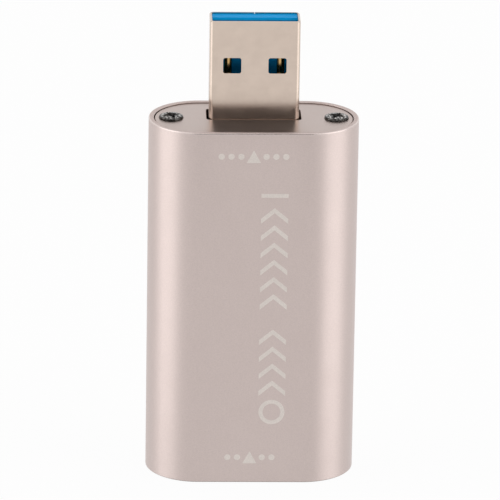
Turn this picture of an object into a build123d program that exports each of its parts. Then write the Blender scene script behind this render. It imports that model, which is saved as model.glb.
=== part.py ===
from build123d import *
import os

# A video capture box: an extruded metal case with a host plug on its output end and a video socket on
# its input end. It stands on its input end. +Z runs along the case towards the plug, +X across its
# width, and -Y is its printed front. The origin is the centre of the case's outline on the plane of the
# input end's rim. Every length is in millimetres, and every angle in degrees.

# Case and the space that it leaves in front of the video socket
case_wall = 0.7
case_edge_round = 0.2
case_inner_edge_chamfer = 0.12
front_space = 4.9

# End plates, which sit inside the case against the screw ports
output_plate_recess = 0.14
input_plate_recess = 0.56
plate_thickness = 1.2
plate_edge_gap = 0.12
plate_edge_chamfer = 0.1
plate_hole_gap = 0.15

# Self-tapping screws with low domed heads
screw_thread_radius = 0.85
screw_root_radius = 0.64
screw_pitch = 0.55
screw_length = 5.0
screw_point_length = 0.5
screw_head_radius = 1.6
screw_head_rim = 0.42
screw_head_height = 0.62
screw_seat_depth = 0.12
screw_seat_gap = 0.06
screw_cross_span = 1.9
screw_cross_width = 0.46
screw_cross_depth = 0.45
screw_cross_floor_share = 0.5
left_screw_turn = 22.0
right_screw_turn = 61.0

# Screw ports, which run along the case beside the video socket
port_bore_gap = 0.03
port_ring = 1.02
port_web_length = 0.4
port_web_width = 1.8
port_slit = 0.9
port_socket_gap = 1.8

# Circuit board and the rails that hold its edges
board_thickness = 1.0
board_back_gap = 1.3
board_side_gap = 0.16
board_end_gap = 0.4
board_corner_round = 0.6
rail_hold = 0.6
rail_gap = 0.1
rail_thickness = 0.7
slot_gap = 0.1

# Video socket, a stamped shell round a contact tongue
socket_opening_width = 14.0
socket_opening_height = 4.55
socket_sheet = 0.3
socket_corner_run = 1.5
socket_corner_rise = 1.8
socket_corner_round = 0.35
socket_length = 11.2
socket_mouth_inset = 0.1
socket_standoff = 0.25
socket_plate_gap = 0.2
socket_leg_width = 1.6
socket_front_leg_depth = 3.7
socket_rear_leg_depth = 8.8
socket_leaf_width = 1.2
socket_leaf_length = 3.6
socket_leaf_slit = 0.25
socket_leaf_bow = 0.35
socket_leaf_depth = 1.6
socket_leaf_spacing = 6.4
socket_tongue_width = 10.6
socket_tongue_thickness = 1.1
socket_tongue_inset = 0.9
socket_cavity_depth = 8.4
socket_contact_count = 19
socket_contact_pitch = 0.5
socket_contact_width = 0.3
socket_contact_thickness = 0.14
socket_contact_inset = 0.5
socket_lead_run = 0.45
socket_lead_foot = 0.75

# Host plug, a folded shell round a contact tongue
plug_width = 12.0
plug_thickness = 4.5
plug_sheet = 0.3
plug_corner_round = 0.6
plug_tip_chamfer = 0.12
plug_protrusion = 13.6
plug_inside_length = 5.4
plug_standoff = 0.2
plug_slot_side_gap = 0.3
plug_slot_face_gap = 0.1
plug_slot_round = 0.5
plug_window_width = 2.4
plug_window_height = 2.14
plug_window_spacing = 6.0
plug_window_from_tip = 5.03
plug_window_round = 0.28
plug_seam = 0.06
plug_leg_width = 1.4
plug_leg_inset = 0.7
plug_tongue_thickness = 1.95
plug_tongue_inset = 0.2
plug_tongue_chamfer = 0.25
plug_cavity_depth = 11.9
long_contact_inner_pitch = 2.0
long_contact_outer_pitch = 2.5
long_contact_width = 1.0
long_contact_inset = 1.2
short_contact_pitch = 2.0
short_contact_count = 5
short_contact_width = 0.6
short_contact_reach = 3.1
short_contact_lift = 0.5
short_contact_bow = 0.3
short_contact_bow_share = 0.67
short_contact_foot_share = 0.33
plug_contact_thickness = 0.18
plug_contact_proud = 0.05
plug_lead_row_depth = 0.4
plug_lead_row_pitch = 1.0
plug_lead_foot = 0.55
plug_lead_bay = 2.45

# Fit of metal in its mouldings, and of mouldings in their shells
insert_gap = 0.02
moulding_gap = 0.03

# Board legs and their solder
leg_tail = 0.3
solder_margin = 0.35
solder_height = 0.22
solder_chamfer = 0.12

# Insulating sheet behind the board
sheet_thickness = 0.15
sheet_side_gap = 0.4

# Bays of the board, from the socket to the plug's leads
filter_bay = 5.0
chip_bay = 12.5
power_bay = 12.15

# Capture chip, a flat square package on pads
chip_side = 7.0
chip_height = 0.75
chip_corner_chamfer = 0.2
chip_mark_radius = 0.35
chip_mark_depth = 0.08
chip_mark_inset = 1.0
chip_pads_per_side = 12
chip_pad_pitch = 0.5
chip_pad_width = 0.24
chip_pad_length = 0.5
chip_pad_height = 0.2
chip_pad_overhang = 0.12
chip_heat_pad_side = 4.4

# Memory chip, with leads on two sides
memory_width = 3.9
memory_length = 4.9
memory_height = 1.35
memory_lift = 0.15
memory_lead_pitch = 1.27
memory_leads_per_side = 4
memory_lead_width = 0.42
memory_lead_reach = 1.05
memory_mark_radius = 0.3

# Voltage regulators
regulator_width = 1.6
regulator_length = 2.9
regulator_height = 1.0
regulator_lift = 0.1
regulator_lead_pitch = 0.95
regulator_lead_width = 0.4
regulator_lead_reach = 0.6

# Leads, foot and bevel that both packages share
gull_thickness = 0.15
gull_shoulder_share = 0.25
gull_foot_share = 0.4
package_bevel = 0.12

# Crystal
crystal_width = 2.5
crystal_length = 3.2
crystal_base_height = 0.25
crystal_can_height = 0.45
crystal_can_inset = 0.15
crystal_can_round = 0.3

# Power inductor
inductor_side = 4.0
inductor_height = 1.8
inductor_corner_chamfer = 0.8
inductor_terminal_length = 1.2
inductor_terminal_height = 0.2

# Bulk capacitors
bulk_width = 2.8
bulk_length = 3.5
bulk_height = 1.9
bulk_bevel = 0.2
bulk_terminal_width = 2.2
bulk_terminal_height = 0.5
bulk_terminal_reach = 0.12
bulk_count = 2

# Line filters and surge arrays beside the socket
filter_width = 2.0
filter_length = 1.2
filter_height = 0.9
filter_bevel = 0.12
filter_count = 4
surge_width = 1.0
surge_length = 0.9
surge_height = 0.5
surge_bevel = 0.06

# Small capacitors and resistors, bodies between two metal ends
small_body_length = 0.62
small_end_length = 0.22
small_width = 0.55
capacitor_height = 0.5
resistor_height = 0.34

# Places on the board, as shares of its half width and of each bay's length
filter_span_share = 0.66
filter_bay_share = 0.5
surge_x_share = 0.88
surge_bay_share = 0.26
capture_chip_x_share = 0.29
capture_chip_bay_share = 0.5
memory_x_share = -0.545
memory_bay_share = 0.68
crystal_x_share = -0.55
crystal_bay_share = 0.24
inductor_x_share = 0.48
inductor_bay_share = 0.3
bulk_x_share = -0.56
bulk_bay_shares = (0.24, 0.7)
regulator_x_share = -0.03
regulator_bay_shares = (0.25, 0.66)
filter_row_share = 0.87
chip_row_low_share = 0.07
chip_row_high_share = 0.93
power_row_share = 0.94
inductor_row_share = 0.66
capacitor_row_x_shares = (-0.6, -0.36, -0.12, 0.12, 0.36, 0.6)
chip_row_x_shares = (0.05, 0.21, 0.37, 0.53)
resistor_row_x_shares = (0.3, 0.46, 0.62)

# Tools of the model: how far cuts run past what they cut
overrun = 1.0

# The case's section, worked out from what it holds
port_bore_radius = screw_thread_radius + port_bore_gap
port_radius = port_bore_radius + port_ring
socket_half_width = socket_opening_width / 2 + socket_sheet
socket_height = socket_opening_height + 2 * socket_sheet
port_x = socket_half_width + port_socket_gap + port_radius
inner_half_width = port_x + port_radius + port_web_length
inner_thickness = board_back_gap + board_thickness + socket_standoff + socket_height + front_space
inner_half_thickness = inner_thickness / 2
case_width = 2 * (inner_half_width + case_wall)
case_thickness = inner_thickness + 2 * case_wall
flat_half_width = inner_half_width - inner_half_thickness

# Depths through the case, from its back wall towards its front
board_back_y = inner_half_thickness - board_back_gap
board_front_y = board_back_y - board_thickness
socket_back_y = board_front_y - socket_standoff
socket_y = socket_back_y - socket_height / 2
plug_y = board_front_y - plug_standoff - plug_thickness / 2
plug_tongue_y = plug_y + plug_thickness / 2 - plug_sheet - plug_tongue_thickness
board_chord = (inner_half_thickness**2 - board_back_y**2) ** 0.5
board_half_width = flat_half_width + board_chord - board_side_gap

# Heights along the case, from the input rim to the plug's tip
mouth_z = input_plate_recess + socket_mouth_inset
socket_back_z = mouth_z + socket_length
filter_bay_end = socket_back_z + filter_bay
chip_bay_end = filter_bay_end + chip_bay
power_bay_end = chip_bay_end + power_bay
plug_back_z = power_bay_end + plug_lead_bay
output_face_z = plug_back_z + plug_inside_length
case_length = output_face_z + output_plate_recess
plug_tip_z = output_face_z + plug_protrusion
plug_cavity_end_z = plug_tip_z - plug_cavity_depth
low_plate_top_z = input_plate_recess + plate_thickness
high_plate_base_z = output_face_z - plate_thickness
board_low_z = low_plate_top_z + board_end_gap
board_high_z = high_plate_base_z - board_end_gap
socket_cavity_end_z = mouth_z + socket_cavity_depth


def block(low, high):
    """A box between two corners."""
    size = [b - a for a, b in zip(low, high)]
    middle = [(a + b) / 2 for a, b in zip(low, high)]
    return Pos(*middle) * Box(*size)


def rectangle(low, high):
    """A flat rectangle between two corners."""
    size = [b - a for a, b in zip(low, high)]
    middle = [(a + b) / 2 for a, b in zip(low, high)]
    return Pos(*middle) * Rectangle(*size)


def along_z(sketch, low, high):
    """A sketch in X and Y, made solid between two heights."""
    return extrude(Pos(0, 0, low) * sketch, amount=high - low, dir=(0, 0, 1))


def along_y(sketch, low, high):
    """A sketch in X and Z, made solid between two depths."""
    plane = Plane(origin=(0, low, 0), x_dir=(1, 0, 0), z_dir=(0, -1, 0))
    return extrude(plane * sketch, amount=high - low, dir=(0, 1, 0))


def along_x(sketch, low, high):
    """A sketch in Y and Z, made solid between two sides."""
    plane = Plane(origin=(low, 0, 0), x_dir=(0, 1, 0), z_dir=(1, 0, 0))
    return extrude(plane * sketch, amount=high - low, dir=(1, 0, 0))


def strip(points, thickness):
    """The side view of a bent strip of even thickness that follows points, mitred at its bends."""
    spots = [Vector(*point) for point in points]
    runs = [(b - a).normalized() for a, b in zip(spots, spots[1:])]
    sides = [Vector(-run.Y, run.X) for run in runs]
    befores = [sides[0], *sides]
    afters = [*sides, sides[-1]]
    mitres = [(a + b) / (1 + a.dot(b)) for a, b in zip(befores, afters)]
    near = [spot + mitre * (thickness / 2) for spot, mitre in zip(spots, mitres)]
    far = [spot - mitre * (thickness / 2) for spot, mitre in zip(spots, mitres)]
    return Polygon(*[(p.X, p.Y) for p in near + far[::-1]], align=None)


def group(solids):
    """Several separate solids as one sub-part."""
    return Compound([solid for shape in solids for solid in shape.solids()])


def mirrored(shape):
    """A shape and its mirror image on the other side of the case."""
    return [shape, mirror(shape, about=Plane.YZ)]


def oval(half_width, half_thickness):
    """The case's outline, straight front and back with fully round sides."""
    return SlotOverall(2 * half_width, 2 * half_thickness)


def port_section():
    """One open screw port with its web, on the right-hand side."""
    ring = Pos(port_x, 0) * Circle(port_radius)
    web = rectangle((port_x, -port_web_width / 2), (inner_half_width + case_wall, port_web_width / 2))
    bore = Pos(port_x, 0) * Circle(port_bore_radius)
    slit = rectangle((port_x - port_radius - overrun, -port_slit / 2), (port_x, port_slit / 2))
    return ring + web - bore - slit


def rail_section():
    """The two rails that hold one edge of the board, on the right-hand side."""
    near_x = board_half_width - rail_hold
    far_x = inner_half_width + case_wall
    front_top = board_front_y - rail_gap
    front = rectangle((near_x, front_top - rail_thickness), (far_x, front_top))
    back = rectangle((near_x, board_back_y + rail_gap), (far_x, inner_half_thickness + case_wall))
    return front + back


def case_tube():
    """The extruded case, with its ports and rails cut back where the end plates sit."""
    bar = along_z(oval(case_width / 2, case_thickness / 2), 0, case_length)
    bar = fillet(bar.faces().filter_by(Plane.XY).edges(), case_edge_round)
    bore = oval(inner_half_width, inner_half_thickness)
    tube = bar - along_z(bore, -overrun, case_length + overrun)
    rims = tube.faces().filter_by(Plane.XY)
    bore_edges = [edge for rim in rims for wire in rim.inner_wires() for edge in wire.edges()]
    tube = chamfer(bore_edges, case_inner_edge_chamfer)
    middle_of_wall = oval(inner_half_width + case_wall / 2, inner_half_thickness + case_wall / 2)
    ribs = (port_section() + rail_section()) & middle_of_wall
    ribs = ribs + mirror(ribs, about=Plane.YZ)
    return tube + along_z(ribs, low_plate_top_z, high_plate_base_z)


def end_plate(opening, outer_z, inner_z):
    """An end plate between its outer and inner faces, with an opening and two seated screw holes."""
    low, high = sorted((outer_z, inner_z))
    outwards = 1 if outer_z > inner_z else -1
    outline = oval(inner_half_width - plate_edge_gap, inner_half_thickness - plate_edge_gap)
    plate = along_z(outline, low, high)
    outer_face = plate.faces().sort_by(Axis.Z)[-1 if outwards > 0 else 0]
    plate = chamfer(outer_face.edges(), plate_edge_chamfer)
    plate -= along_z(opening, low - overrun, high + overrun)
    seat_z = outer_z - outwards * screw_seat_depth
    seat_low, seat_high = sorted((seat_z, outer_z + outwards * overrun))
    for side in (-1, 1):
        centre = Pos(side * port_x, 0)
        hole = centre * Circle(screw_thread_radius + plate_hole_gap)
        seat = centre * Circle(screw_head_radius + screw_seat_gap)
        plate -= along_z(hole, low - overrun, high + overrun)
        plate -= along_z(seat, seat_low, seat_high)
    return plate


def output_end_plate():
    """The plate that the host plug comes out of."""
    slot_width = plug_width + 2 * plug_slot_side_gap
    slot_height = plug_thickness + 2 * plug_slot_face_gap
    slot = Pos(0, plug_y) * RectangleRounded(slot_width, slot_height, plug_slot_round)
    return end_plate(slot, output_face_z, high_plate_base_z)


def input_end_plate():
    """The plate round the video socket's mouth."""
    opening = offset(socket_outline(), amount=socket_sheet + socket_plate_gap)
    return end_plate(opening, input_plate_recess, low_plate_top_z)


def screw(turn):
    """A screw with its head up, its seat at height zero and its cross turned by an angle."""
    dome = TangentArc((0, screw_head_height), (screw_head_radius, screw_head_rim), tangent=(1, 0))
    shank = screw_length - screw_point_length
    turns = int(shank / screw_pitch)
    thread = [(screw_root_radius, 0)]
    for turn_number in range(turns):
        crest_z = -(turn_number + 1 / 2) * shank / turns
        root_z = -(turn_number + 1) * shank / turns
        thread += [(screw_thread_radius, crest_z), (screw_root_radius, root_z)]
    outline = [(screw_head_radius, screw_head_rim), (screw_head_radius, 0), *thread]
    outline += [(0, -screw_length), (0, screw_head_height)]
    body = revolve(Plane.XZ * make_face([dome, Polyline(*outline)]), axis=Axis.Z)
    top = Rectangle(screw_cross_span, screw_cross_width)
    floor = Rectangle(
        screw_cross_span * screw_cross_floor_share, screw_cross_width * screw_cross_floor_share
    )
    floor_z = screw_head_height - screw_cross_depth
    wing = loft([Pos(0, 0, screw_head_height) * top, Pos(0, 0, floor_z) * floor])
    for quarter in (0, 90):
        body -= Rot(0, 0, turn + quarter) * wing
    return body


def output_plate_screws():
    """The two screws of the output end plate, heads towards the plug's tip."""
    seat_z = output_face_z - screw_seat_depth
    places = ((-port_x, left_screw_turn), (port_x, right_screw_turn))
    return group([Pos(x, 0, seat_z) * screw(turn) for x, turn in places])


def input_plate_screws():
    """The two screws of the input end plate, heads down."""
    seat_z = input_plate_recess + screw_seat_depth
    places = ((-port_x, right_screw_turn), (port_x, left_screw_turn))
    return group([Pos(x, 0, seat_z) * Rot(180, 0, 0) * screw(turn) for x, turn in places])


def socket_outline():
    """The video socket's opening, with its two corners next to the board cut off."""
    half = socket_opening_width / 2
    front = socket_y - socket_opening_height / 2
    back = socket_y + socket_opening_height / 2
    corner_x = half - socket_corner_run
    corner_y = back - socket_corner_rise
    points = [
        (-half, front),
        (half, front),
        (half, corner_y),
        (corner_x, back),
        (-corner_x, back),
        (-half, corner_y),
    ]
    outline = Polygon(*points, align=None)
    return fillet(outline.vertices(), socket_corner_round)


def socket_leaf(x, wall_y, inwards):
    """One spring leaf of the socket's shell and the window round it: (window, leaf)."""
    root_z = mouth_z + socket_leaf_depth + socket_leaf_length
    tip_z = root_z - socket_leaf_length
    half = socket_leaf_width / 2
    reach = socket_sheet / 2 + overrun
    window = block(
        (x - half - socket_leaf_slit, wall_y - reach, tip_z - socket_leaf_slit),
        (x + half + socket_leaf_slit, wall_y + reach, root_z),
    )
    bow_y = wall_y + inwards * socket_leaf_bow
    path = [
        (wall_y, root_z + socket_sheet),
        (wall_y, root_z),
        (bow_y, tip_z + socket_sheet * 2),
        (wall_y, tip_z),
    ]
    leaf = along_x(strip(path, socket_sheet), x - half, x + half)
    return window, leaf


def socket_legs():
    """Low and high corners of the socket's four board legs, one on each side at two depths."""
    outer_x = socket_half_width
    inner_x = outer_x - socket_sheet
    legs = []
    for depth in (socket_front_leg_depth, socket_rear_leg_depth):
        low_z = mouth_z + depth - socket_leg_width / 2
        high_z = low_z + socket_leg_width
        legs.append(((inner_x, socket_y, low_z), (outer_x, board_back_y + leg_tail, high_z)))
        legs.append(((-outer_x, socket_y, low_z), (-inner_x, board_back_y + leg_tail, high_z)))
    return legs


def socket_shell():
    """The stamped shell, with spring leaves front and back and four legs through the board."""
    inner = socket_outline()
    shell = along_z(offset(inner, amount=socket_sheet) - inner, mouth_z, socket_back_z)
    middle_of_wall = (socket_opening_height + socket_sheet) / 2
    for side in (-1, 1):
        for face in (-1, 1):
            x = side * socket_leaf_spacing / 2
            window, leaf = socket_leaf(x, socket_y + face * middle_of_wall, -face)
            shell = shell - window + leaf
    for low, high in socket_legs():
        shell += block(low, high)
    return shell


def socket_contact_path(row):
    """The path of a socket contact, in depth and height, for the front row (-1) or the back row (1)."""
    face_y = socket_y + row * (socket_tongue_thickness - socket_contact_thickness) / 2
    board_y = board_front_y - socket_contact_thickness / 2
    start_z = mouth_z + socket_tongue_inset + socket_contact_inset
    turn_z = socket_back_z + socket_lead_run
    return [(face_y, start_z), (face_y, turn_z), (board_y, turn_z), (board_y, turn_z + socket_lead_foot)]


def socket_contacts(row, gap=0):
    """The contacts of one row of the socket, every other one of the whole set, grown by a gap."""
    first = 0 if row < 0 else 1
    shapes = []
    for number in range(first, socket_contact_count, 2):
        x = (number - (socket_contact_count - 1) / 2) * socket_contact_pitch
        half = socket_contact_width / 2 + gap
        outline = strip(socket_contact_path(row), socket_contact_thickness + 2 * gap)
        shapes.append(along_x(outline, x - half, x + half))
    return group(shapes)


def socket_tongue():
    """The moulding that carries the socket's contacts: a flat tongue on a block that fills the shell."""
    half = socket_tongue_width / 2
    tongue = block(
        (-half, socket_y - socket_tongue_thickness / 2, mouth_z + socket_tongue_inset),
        (half, socket_y + socket_tongue_thickness / 2, socket_back_z),
    )
    plug_of_block = offset(socket_outline(), amount=-moulding_gap)
    moulding = tongue + along_z(plug_of_block, socket_cavity_end_z, socket_back_z)
    for row in (-1, 1):
        moulding -= socket_contacts(row, insert_gap)
    return moulding


def plug_legs():
    """Low and high corners of the plug's two board legs."""
    outer_x = plug_width / 2
    inner_x = outer_x - plug_sheet
    low_z = plug_back_z + plug_leg_inset
    high_z = low_z + plug_leg_width
    tail_y = board_back_y + leg_tail
    return [
        ((inner_x, plug_y, low_z), (outer_x, tail_y, high_z)),
        ((-outer_x, plug_y, low_z), (-inner_x, tail_y, high_z)),
    ]


def plug_inner_outline(gap=0):
    """The inside of the plug's shell, drawn in by a gap."""
    width = plug_width - 2 * (plug_sheet + gap)
    height = plug_thickness - 2 * (plug_sheet + gap)
    return Pos(0, plug_y) * RectangleRounded(width, height, plug_corner_round - plug_sheet)


def plug_shell():
    """The folded shell, with two windows in each broad face, a seam at its back and two board legs."""
    outer = Pos(0, plug_y) * RectangleRounded(plug_width, plug_thickness, plug_corner_round)
    bar = along_z(outer, plug_back_z, plug_tip_z)
    bar = chamfer(bar.faces().sort_by(Axis.Z)[-1].edges(), plug_tip_chamfer)
    shell = bar - along_z(plug_inner_outline(), plug_back_z - overrun, plug_tip_z + overrun)
    window = RectangleRounded(plug_window_width, plug_window_height, plug_window_round)
    window_z = plug_tip_z - plug_window_from_tip - plug_window_height / 2
    for side in (-1, 1):
        place = Pos(side * plug_window_spacing / 2, window_z)
        shell -= along_y(place * window, plug_y - plug_thickness, plug_y + plug_thickness)
    for low, high in plug_legs():
        shell += block(low, high)
    back_y = plug_y + plug_thickness / 2
    seam_low = (-plug_seam / 2, back_y - plug_sheet - moulding_gap, plug_back_z - overrun)
    seam_high = (plug_seam / 2, back_y + overrun, plug_tip_z + overrun)
    return shell - block(seam_low, seam_high)


def plug_lead(face_y, start, row_number):
    """A contact's path from its start to its foot on the board, in depth and height."""
    board_y = board_front_y - plug_contact_thickness / 2
    turn_z = plug_back_z - plug_lead_row_depth - row_number * plug_lead_row_pitch
    return [*start, (face_y, turn_z), (board_y, turn_z), (board_y, turn_z - plug_lead_foot)]


def plug_long_contacts(gap=0):
    """The plug's four long contacts, laid in the tongue's face, grown by a gap."""
    face_y = plug_tongue_y - plug_contact_proud + plug_contact_thickness / 2
    start = [(face_y, plug_tip_z - plug_tongue_inset - long_contact_inset)]
    outline = strip(plug_lead(face_y, start, 0), plug_contact_thickness + 2 * gap)
    inner_x = long_contact_inner_pitch / 2
    outer_x = inner_x + long_contact_outer_pitch
    half = long_contact_width / 2 + gap
    return group([along_x(outline, x - half, x + half) for x in (-outer_x, -inner_x, inner_x, outer_x)])


def plug_short_contacts(gap=0):
    """The plug's five short contacts, sprung above the tongue's root, grown by a gap."""
    face_y = plug_tongue_y - short_contact_lift
    tip_z = plug_cavity_end_z + short_contact_reach
    bow_z = plug_cavity_end_z + short_contact_reach * short_contact_bow_share
    foot_z = plug_cavity_end_z + short_contact_reach * short_contact_foot_share
    start = [
        (face_y + short_contact_bow / 2, tip_z),
        (face_y - short_contact_bow, bow_z),
        (face_y, foot_z),
    ]
    outline = strip(plug_lead(face_y, start, 1), plug_contact_thickness + 2 * gap)
    contacts = []
    for number in range(short_contact_count):
        x = (number - (short_contact_count - 1) / 2) * short_contact_pitch
        half = short_contact_width / 2 + gap
        contacts.append(along_x(outline, x - half, x + half))
    return group(contacts)


def plug_tongue():
    """The plug's moulding: a tongue along the shell's back wall, on a block that fills the shell."""
    inside = plug_inner_outline(moulding_gap)
    tongue_zone = rectangle((-plug_width, plug_tongue_y), (plug_width, plug_y + plug_thickness))
    tongue_end_z = plug_tip_z - plug_tongue_inset
    tongue = along_z(inside & tongue_zone, plug_back_z, tongue_end_z)
    end_edges = tongue.faces().sort_by(Axis.Z)[-1].edges().sort_by(Axis.Y)
    tongue = chamfer(end_edges[0], plug_tongue_chamfer)
    moulding = tongue + along_z(inside, plug_back_z, plug_cavity_end_z)
    return moulding - plug_long_contacts(insert_gap) - plug_short_contacts(insert_gap)


def board_legs():
    """Every leg that passes through the board, as low and high corners."""
    return socket_legs() + plug_legs()


def grown(low, high, gap):
    """A leg's corners in X and Z, grown by a gap."""
    return (low[0] - gap, low[2] - gap), (high[0] + gap, high[2] + gap)


def circuit_board():
    """The board, slotted for the legs of the socket and the plug."""
    outline = rectangle((-board_half_width, board_low_z), (board_half_width, board_high_z))
    outline = fillet(outline.vertices(), board_corner_round)
    for low, high in board_legs():
        outline -= rectangle(*grown(low, high, slot_gap))
    return along_y(outline, board_front_y, board_back_y)


def solder_joints():
    """The solder round each leg's tail, on the board's back."""
    joints = []
    for low, high in board_legs():
        mound = along_y(
            rectangle(*grown(low, high, solder_margin)), board_back_y, board_back_y + solder_height
        )
        mound = chamfer(mound.faces().sort_by(Axis.Y)[-1].edges(), solder_chamfer)
        joints.append(mound - block(low, high))
    return group(joints)


def insulating_sheet():
    """The thin sheet on the case's back wall, behind the board's soldered side."""
    half = flat_half_width - sheet_side_gap
    return block(
        (-half, inner_half_thickness - sheet_thickness, board_low_z),
        (half, inner_half_thickness, board_high_z),
    )


def on_board(x, z, width, length, height, lift=0):
    """A box on the board's front, centred at a place and raised by a lift."""
    top_y = board_front_y - lift - height
    return block(
        (x - width / 2, top_y, z - length / 2), (x + width / 2, board_front_y - lift, z + length / 2)
    )


def front_edges(shape):
    """The edges round the face of a shape that looks to the case's front."""
    return shape.faces().sort_by(Axis.Y)[0].edges()


def place(x_share, bay_start, bay_length, bay_share):
    """A place on the board, from its shares of the half width and of a bay's length."""
    return x_share * board_half_width, bay_start + bay_share * bay_length


def capture_chip_place():
    """Where the capture chip lies."""
    return place(capture_chip_x_share, filter_bay_end, chip_bay, capture_chip_bay_share)


def capture_chip():
    """The capture chip's package, on its pads."""
    x, z = capture_chip_place()
    body = on_board(x, z, chip_side, chip_side, chip_height, chip_pad_height)
    body = chamfer(body.edges().filter_by(Axis.Y), chip_corner_chamfer)
    mark = Circle(chip_mark_radius)
    mark_x = x - chip_side / 2 + chip_mark_inset
    mark_z = z + chip_side / 2 - chip_mark_inset
    top_y = board_front_y - chip_pad_height - chip_height
    return body - along_y(Pos(mark_x, mark_z) * mark, top_y - overrun, top_y + chip_mark_depth)


def capture_chip_pads():
    """The pads round the capture chip and the heat pad under its middle."""
    x, z = capture_chip_place()
    pads = [on_board(x, z, chip_heat_pad_side, chip_heat_pad_side, chip_pad_height)]
    reach = chip_side / 2 + chip_pad_overhang - chip_pad_length / 2
    for number in range(chip_pads_per_side):
        along = (number - (chip_pads_per_side - 1) / 2) * chip_pad_pitch
        for side in (-1, 1):
            across = side * reach
            pads.append(on_board(x + across, z + along, chip_pad_length, chip_pad_width, chip_pad_height))
            pads.append(on_board(x + along, z + across, chip_pad_width, chip_pad_length, chip_pad_height))
    return group(pads)


def gull_lead(x, z, side, edge, reach, height, lift, width):
    """One bent lead from a package's side down to the board, to the left (-1) or right (1)."""
    start_x = x + side * edge
    knee_x = start_x + side * reach * gull_shoulder_share
    ankle_x = start_x + side * reach * (1 - gull_foot_share)
    middle_y = board_front_y - lift - height / 2
    board_y = board_front_y - gull_thickness / 2
    path = [(start_x, middle_y), (knee_x, middle_y), (ankle_x, board_y), (start_x + side * reach, board_y)]
    return along_z(strip(path, gull_thickness), z - width / 2, z + width / 2)


def memory_place():
    """Where the memory chip lies."""
    return place(memory_x_share, filter_bay_end, chip_bay, memory_bay_share)


def memory_chip():
    """The memory chip's package."""
    x, z = memory_place()
    body = on_board(x, z, memory_width, memory_length, memory_height, memory_lift)
    body = chamfer(front_edges(body), package_bevel)
    top_y = board_front_y - memory_lift - memory_height
    mark_x = x - memory_width / 2 + 2 * memory_mark_radius
    mark_z = z + memory_length / 2 - 2 * memory_mark_radius
    mark = Pos(mark_x, mark_z) * Circle(memory_mark_radius)
    return body - along_y(mark, top_y - overrun, top_y + chip_mark_depth)


def memory_chip_leads():
    """The memory chip's leads, on its two long sides."""
    x, z = memory_place()
    edge = memory_width / 2
    leads = []
    for number in range(memory_leads_per_side):
        lead_z = z + (number - (memory_leads_per_side - 1) / 2) * memory_lead_pitch
        for side in (-1, 1):
            lead = (edge, memory_lead_reach, memory_height, memory_lift, memory_lead_width)
            leads.append(gull_lead(x, lead_z, side, *lead))
    return group(leads)


def regulator_places():
    """Where the voltage regulators lie."""
    return [place(regulator_x_share, chip_bay_end, power_bay, share) for share in regulator_bay_shares]


def regulators():
    """The voltage regulators' packages."""
    bodies = []
    for x, z in regulator_places():
        body = on_board(x, z, regulator_width, regulator_length, regulator_height, regulator_lift)
        bodies.append(chamfer(front_edges(body), package_bevel))
    return group(bodies)


def regulator_leads():
    """The regulators' leads, three on one side and two on the other."""
    edge = regulator_width / 2
    lead = (edge, regulator_lead_reach, regulator_height, regulator_lift, regulator_lead_width)
    leads = []
    for x, z in regulator_places():
        for side, steps in ((-1, (-1, 0, 1)), (1, (-1, 1))):
            leads += [gull_lead(x, z + step * regulator_lead_pitch, side, *lead) for step in steps]
    return group(leads)


def crystal():
    """The crystal, a drawn metal can on a flat base."""
    x, z = place(crystal_x_share, filter_bay_end, chip_bay, crystal_bay_share)
    base = on_board(x, z, crystal_width, crystal_length, crystal_base_height)
    can_width = crystal_width - 2 * crystal_can_inset
    can_length = crystal_length - 2 * crystal_can_inset
    can = on_board(x, z, can_width, can_length, crystal_can_height, crystal_base_height)
    can = fillet(can.edges().filter_by(Axis.Y), crystal_can_round)
    can = fillet(front_edges(can), crystal_can_round / 2)
    return base + can


def power_inductor_place():
    """Where the power inductor lies."""
    return place(inductor_x_share, chip_bay_end, power_bay, inductor_bay_share)


def power_inductor():
    """The power inductor's pressed core, on its two terminals."""
    x, z = power_inductor_place()
    lift = inductor_terminal_height
    body = on_board(x, z, inductor_side, inductor_side, inductor_height, lift)
    body = chamfer(body.edges().filter_by(Axis.Y), inductor_corner_chamfer)
    return chamfer(front_edges(body), package_bevel)


def power_inductor_terminals():
    """The inductor's two terminals, flat under its core."""
    x, z = power_inductor_place()
    width = inductor_side - 2 * inductor_corner_chamfer
    out = (inductor_side - inductor_terminal_length) / 2
    size = (width, inductor_terminal_length, inductor_terminal_height)
    return group([on_board(x, z + side * out, *size) for side in (-1, 1)])


def bulk_places():
    """Where the bulk capacitors lie."""
    return [place(bulk_x_share, chip_bay_end, power_bay, share) for share in bulk_bay_shares]


def bulk_capacitors():
    """The bulk capacitors' moulded bodies."""
    bodies = []
    for x, z in bulk_places():
        body = on_board(x, z, bulk_width, bulk_length, bulk_height)
        bodies.append(chamfer(front_edges(body), bulk_bevel))
    return group(bodies)


def bulk_capacitor_terminals():
    """The folded terminals at both ends of each bulk capacitor."""
    terminals = []
    for x, z in bulk_places():
        for side in (-1, 1):
            end_z = z + side * (bulk_length + bulk_terminal_reach) / 2
            size = (bulk_terminal_width, bulk_terminal_reach, bulk_terminal_height)
            terminals.append(on_board(x, end_z, *size))
    return group(terminals)


def line_filters():
    """The line filters between the socket and the capture chip, in one row."""
    bodies = []
    for number in range(filter_count):
        x_share = (2 * number / (filter_count - 1) - 1) * filter_span_share
        x, z = place(x_share, socket_back_z, filter_bay, filter_bay_share)
        body = on_board(x, z, filter_width, filter_length, filter_height)
        bodies.append(chamfer(front_edges(body), filter_bevel))
    return group(bodies)


def surge_arrays():
    """The two surge arrays, at the ends of the socket's row of leads."""
    x, z = place(surge_x_share, socket_back_z, filter_bay, surge_bay_share)
    body = on_board(x - surge_width / 2, z, surge_width, surge_length, surge_height)
    return group(mirrored(chamfer(front_edges(body), surge_bevel)))


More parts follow.
